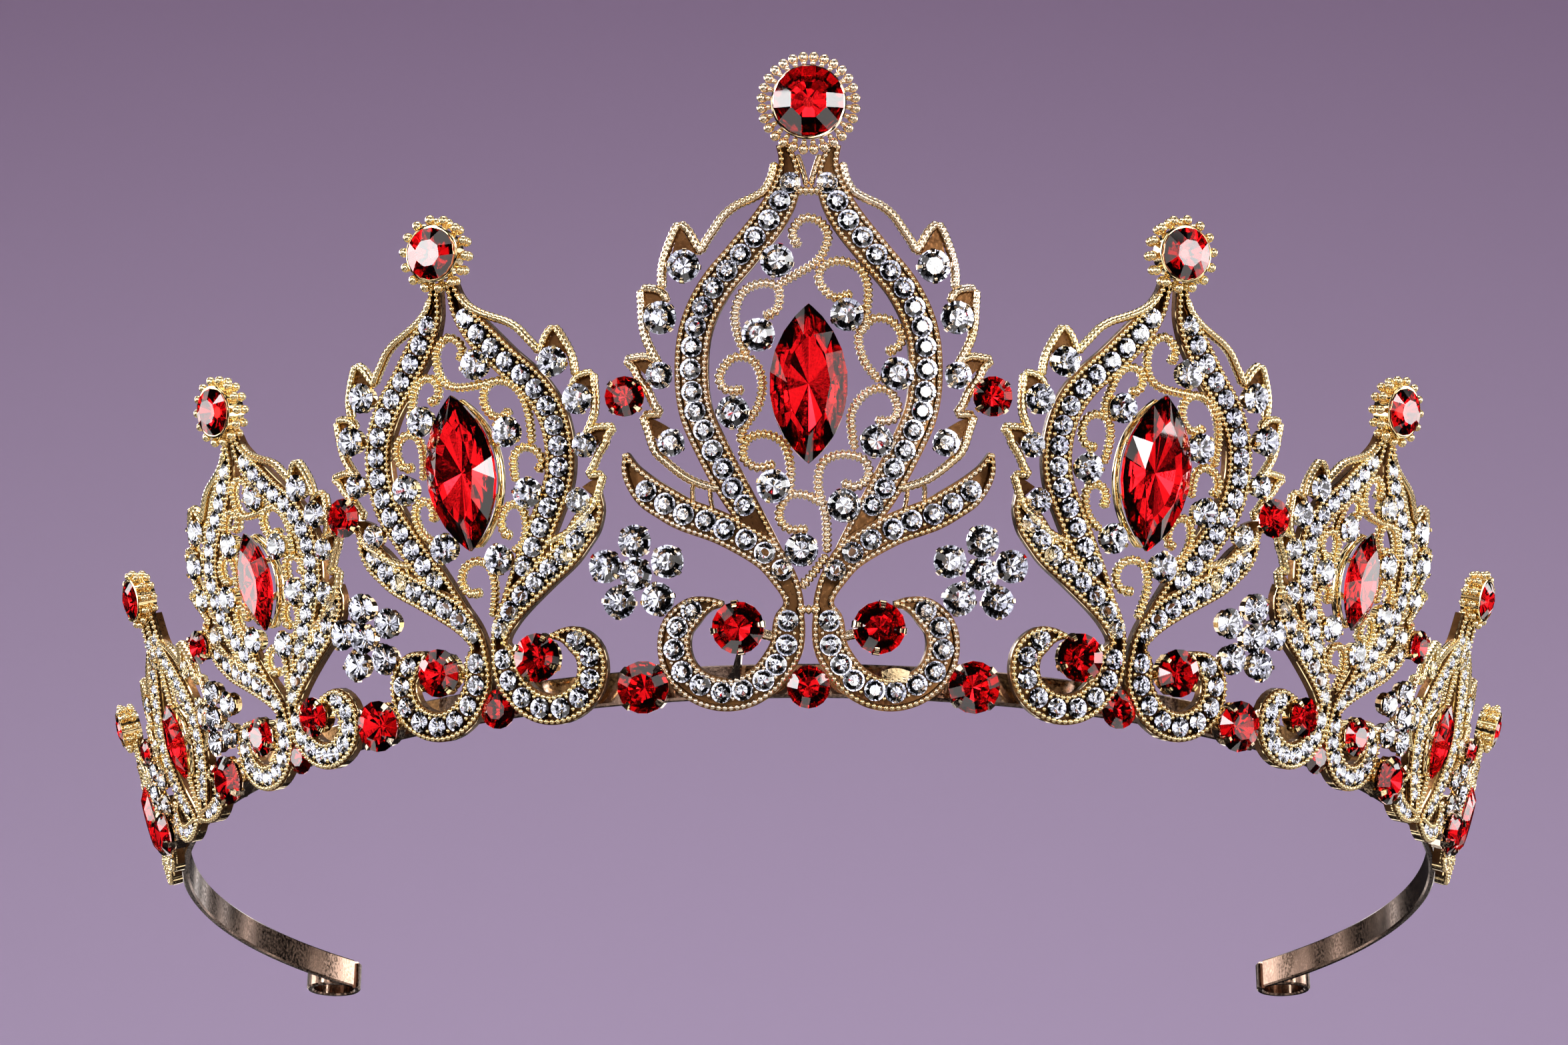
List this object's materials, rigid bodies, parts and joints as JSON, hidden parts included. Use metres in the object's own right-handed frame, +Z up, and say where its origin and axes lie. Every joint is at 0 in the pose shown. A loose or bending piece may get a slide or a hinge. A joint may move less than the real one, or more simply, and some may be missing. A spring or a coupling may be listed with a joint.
{
  "type": "tiara",
  "caption": "Open-backed tiara: a fan of filigree castings set with red and clear stones on a narrow head band with an eye rolled at each end.",
  "frame": {"origin": "the middle of the footprint, on the surface that the feet of the castings stand on", "axes": "+Z up from the feet to the finials, -Y towards the front casting, +X to the right of someone who faces the front"},
  "size_m": [0.1508, 0.1348, 0.0586],
  "materials": {
    "gold_plate": "bright pale gold plate over a cast alloy, with beaded rims",
    "band_metal": "satin rose gold plate on a steel strip",
    "red_glass": "faceted ruby red glass with a foiled back",
    "clear_glass": "faceted clear glass with a silver foil back"
  },
  "bodies": {
    "root": {"casting_front": "gold_plate", "casting_left_1": "gold_plate", "casting_right_1": "gold_plate", "casting_left_2": "gold_plate", "casting_right_2": "gold_plate", "casting_left_3": "gold_plate", "casting_right_3": "gold_plate", "casting_left_4": "gold_plate", "casting_right_4": "gold_plate", "oval_stone_front": "red_glass", "oval_stone_left_1": "red_glass", "oval_stone_right_1": "red_glass", "oval_stone_left_2": "red_glass", "oval_stone_right_2": "red_glass", "oval_stone_left_3": "red_glass", "oval_stone_right_3": "red_glass", "oval_stone_left_4": "red_glass", "oval_stone_right_4": "red_glass", "finial_stone_front": "red_glass", "finial_stone_left_1": "red_glass", "finial_stone_right_1": "red_glass", "finial_stone_left_2": "red_glass", "finial_stone_right_2": "red_glass", "finial_stone_left_3": "red_glass", "finial_stone_right_3": "red_glass", "finial_stone_left_4": "red_glass", "finial_stone_right_4": "red_glass", "volute_stones_front": "red_glass", "volute_stones_left_1": "red_glass", "volute_stones_right_1": "red_glass", "volute_stones_left_2": "red_glass", "volute_stones_right_2": "red_glass", "vine_stones_front": "clear_glass", "vine_stones_left_1": "clear_glass", "vine_stones_right_1": "clear_glass", "vine_stones_left_2": "clear_glass", "vine_stones_right_2": "clear_glass", "vine_stones_left_3": "clear_glass", "vine_stones_right_3": "clear_glass", "vine_stones_left_4": "clear_glass", "vine_stones_right_4": "clear_glass", "channel_stones_front": "clear_glass", "channel_stones_left_1": "clear_glass", "channel_stones_right_1": "clear_glass", "channel_stones_left_2": "clear_glass", "channel_stones_right_2": "clear_glass", "channel_stones_left_3": "clear_glass", "channel_stones_right_3": "clear_glass", "channel_stones_left_4": "clear_glass", "channel_stones_right_4": "clear_glass", "head_band": "band_metal", "link_settings": "gold_plate", "flower_stones": "clear_glass", "low_link_stones": "red_glass", "high_link_stones": "red_glass", "foot_stones": "red_glass"}
  },
  "joints": []
}
